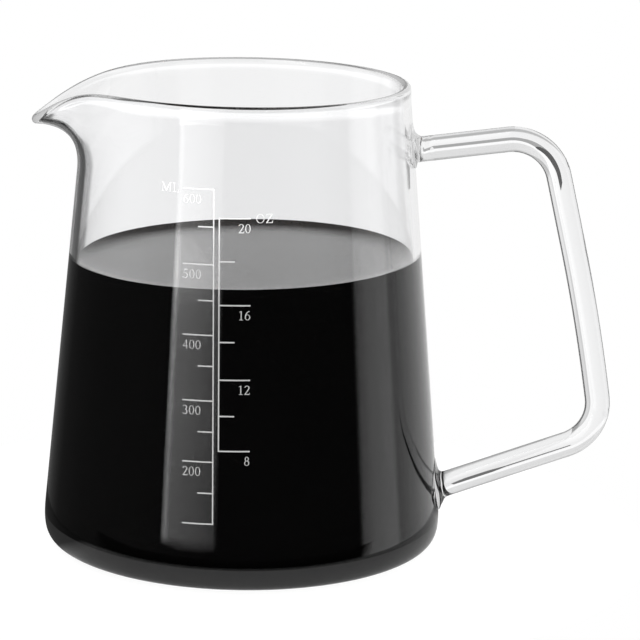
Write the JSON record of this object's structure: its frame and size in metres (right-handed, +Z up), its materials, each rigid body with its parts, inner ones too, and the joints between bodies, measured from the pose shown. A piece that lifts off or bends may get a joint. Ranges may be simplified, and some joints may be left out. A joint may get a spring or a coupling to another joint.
{
  "type": "glass measuring jug",
  "caption": "Clear glass measuring jug: flared vessel with a pulled spout, a bent glass rod handle welded on at both ends, and printed millilitre and ounce scales.",
  "frame": {"origin": "on the table, at the centre of the base", "axes": "+Z up along the vessel's axis, +X towards the handle, -X towards the spout, printed scales on the -Y side"},
  "size_m": [0.1487, 0.1022, 0.1189],
  "materials": {
    "clear_glass": "clear, fire-polished",
    "white_enamel": "fired white enamel, slightly matt",
    "coffee": "dark liquid"
  },
  "bodies": {
    "root": {"glass_body": "clear_glass", "handle_rod": "clear_glass", "upper_weld": "clear_glass", "lower_weld": "clear_glass", "ml_scale": "white_enamel", "ml_numerals": "white_enamel", "oz_scale": "white_enamel", "oz_numerals": "white_enamel", "unit_marks": "white_enamel"}
  },
  "joints": []
}
